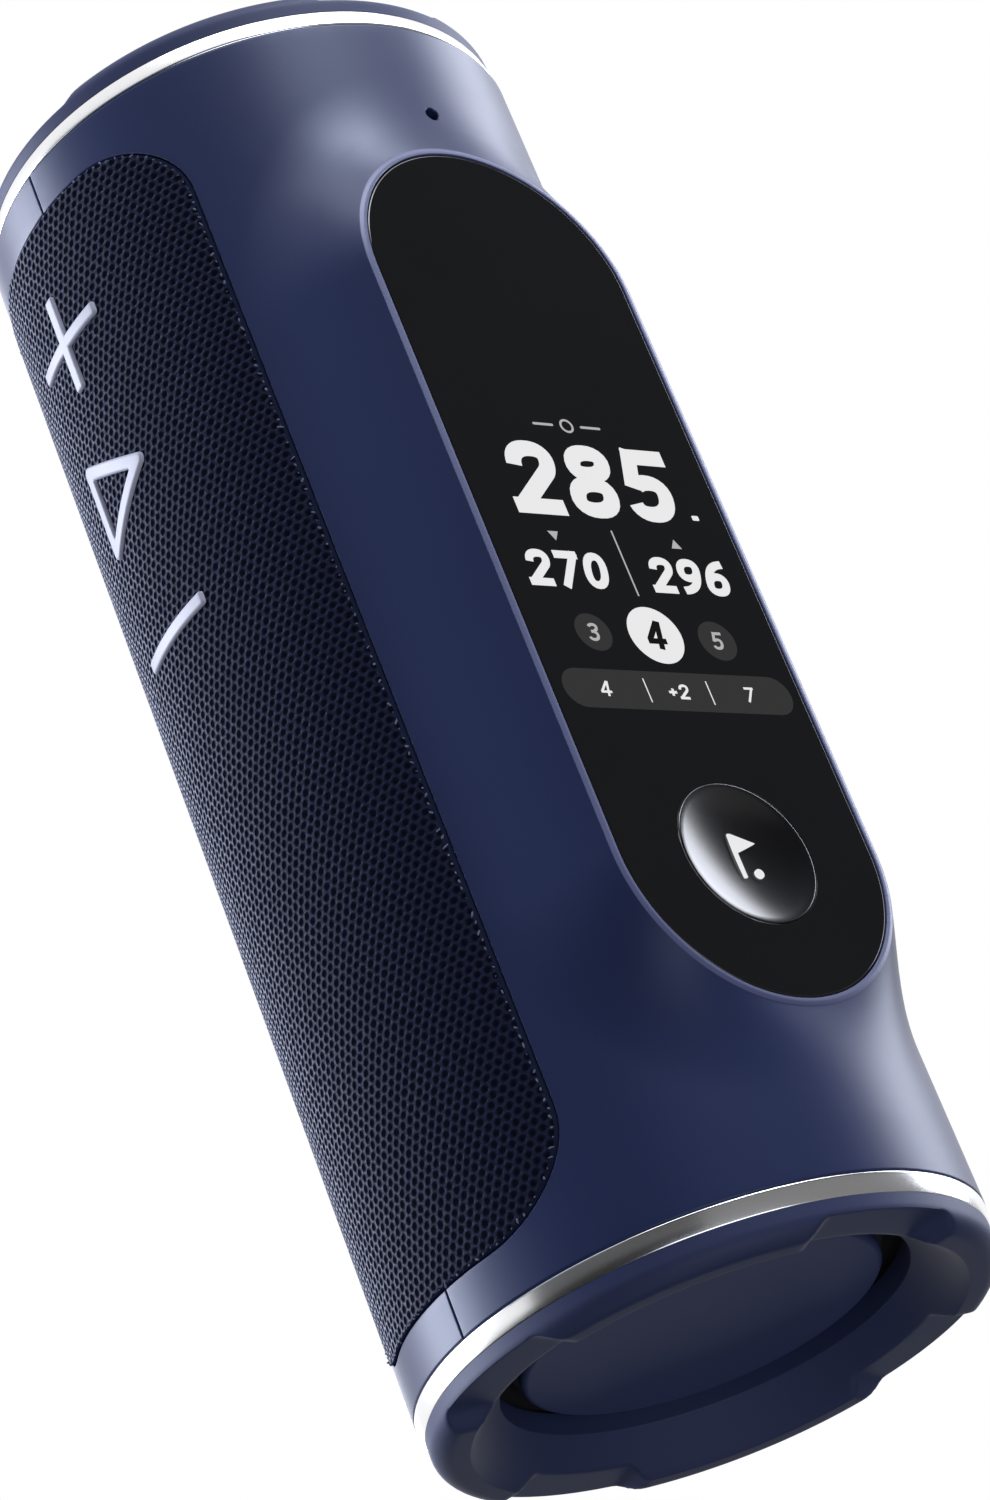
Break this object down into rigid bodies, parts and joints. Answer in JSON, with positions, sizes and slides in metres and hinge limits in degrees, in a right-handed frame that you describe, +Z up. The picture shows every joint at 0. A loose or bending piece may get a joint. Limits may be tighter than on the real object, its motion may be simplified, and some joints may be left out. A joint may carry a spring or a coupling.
{
  "type": "golf gps speaker",
  "caption": "Upright round portable golf speaker with a raised touch display, cloth side grilles, press keys and rubber ends over passive radiators.",
  "frame": {"origin": "centre of the base, on the casing axis, in the plane of the bottom cap lip", "axes": "+Z up the casing axis, the display faces -Y, the side with the keys is -X"},
  "size_m": [0.0808, 0.0803, 0.2022],
  "materials": {
    "casing": "soft-touch satin navy",
    "grille": "matt moulded black",
    "cloth": "open mesh acoustic cloth",
    "key": "soft pale lavender",
    "circuit_board": "solder mask",
    "switch": "stamped",
    "glass": "gloss black printed glass",
    "gasket": "foam",
    "panel": "dark display panel",
    "tray": "stamped",
    "screw": "machined",
    "ceramic": "fired ceramic",
    "button": "gloss black",
    "mesh": "woven wire",
    "chassis": "moulded",
    "chip": "moulded epoxy",
    "cell": "shrink sleeve",
    "magnet": "nickel plated",
    "socket": "drawn shell",
    "flap": "moulded rubber",
    "basket": "coated steel",
    "cone": "coated paper",
    "surround": "moulded rubber",
    "ring": "polished steel",
    "cap": "moulded navy rubber",
    "plate": "satin navy plate",
    "weight": "pressed"
  },
  "bodies": {
    "casing": {"front_shell": "casing", "rear_shell": "casing", "left_grille": "grille", "right_grille": "grille", "left_cloth": "cloth", "right_cloth": "cloth", "key_board": "circuit_board", "key_switches": "switch", "display_glass": "glass", "glass_gasket": "gasket", "display_panel": "panel", "panel_tray": "tray", "display_board": "circuit_board", "display_screws": "screw", "satellite_antenna": "ceramic", "button_switch": "switch", "mic_mesh": "mesh", "mic_capsule": "switch", "mic_board": "circuit_board", "chassis": "chassis", "main_board": "circuit_board", "board_chips": "chip", "board_screws": "screw", "battery_cells": "cell", "battery_cradle": "chassis", "cart_magnets": "magnet", "charge_socket": "socket", "charge_board": "circuit_board", "charge_gasket": "gasket", "left_basket": "basket", "left_magnet": "magnet", "left_surround": "surround", "right_basket": "basket", "right_magnet": "magnet", "right_surround": "surround", "bottom_ring": "ring", "bottom_cap": "cap", "bottom_frame": "chassis", "bottom_seal": "gasket", "bottom_screws": "screw", "bottom_surround": "surround", "top_ring": "ring", "top_cap": "cap", "top_frame": "chassis", "top_seal": "gasket", "top_screws": "screw", "top_surround": "surround"},
    "main_button": {"main_button": "button"},
    "plus_key": {"plus_key": "key"},
    "play_key": {"play_key": "key"},
    "minus_key": {"minus_key": "key"},
    "port_flap": {"port_flap": "flap"},
    "left_cone": {"left_cone": "cone"},
    "right_cone": {"right_cone": "cone"},
    "bottom_radiator": {"bottom_radiator": "plate", "bottom_weight": "weight"},
    "top_radiator": {"top_radiator": "plate", "top_weight": "weight"}
  },
  "joints": [
    {"name": "main_button_press", "type": "slide", "parent": "casing", "child": "main_button", "axis": [0, 1, 0], "range_m": [0, 0.0006], "stiffness_N_per_m": 2500},
    {"name": "plus_key_press", "type": "slide", "parent": "casing", "child": "plus_key", "axis": [0.9914, -0.1305, 0], "range_m": [0, 0.0003], "stiffness_N_per_m": 3500},
    {"name": "play_key_press", "type": "slide", "parent": "casing", "child": "play_key", "axis": [0.9914, -0.1305, 0], "range_m": [0, 0.0003], "stiffness_N_per_m": 3500},
    {"name": "minus_key_press", "type": "slide", "parent": "casing", "child": "minus_key", "axis": [0.9914, -0.1305, 0], "range_m": [0, 0.0003], "stiffness_N_per_m": 3500},
    {"name": "left_cone_slide", "type": "slide", "parent": "casing", "child": "left_cone", "axis": [-0.9914, 0.1305, 0], "range_m": [-0.0015, 0.0015], "stiffness_N_per_m": 1500, "deforming": ["left_surround"]},
    {"name": "right_cone_slide", "type": "slide", "parent": "casing", "child": "right_cone", "axis": [0.9914, 0.1305, 0], "range_m": [-0.0015, 0.0015], "stiffness_N_per_m": 1500, "deforming": ["right_surround"]},
    {"name": "bottom_radiator_slide", "type": "slide", "parent": "casing", "child": "bottom_radiator", "axis": [0, 0, 1], "range_m": [-0.003, 0.003], "stiffness_N_per_m": 2500, "deforming": ["bottom_surround"]},
    {"name": "top_radiator_slide", "type": "slide", "parent": "casing", "child": "top_radiator", "axis": [0, 0, 1], "range_m": [-0.003, 0.003], "stiffness_N_per_m": 2500, "deforming": ["top_surround"]},
    {"name": "port_flap_hinge", "type": "hinge", "parent": "casing", "child": "port_flap", "pos_m": [0, 0.04, 0.0255], "axis": [-1, 0, 0], "range_deg": [0, 110], "stiffness_Nm_per_rad": 0.002}
  ]
}
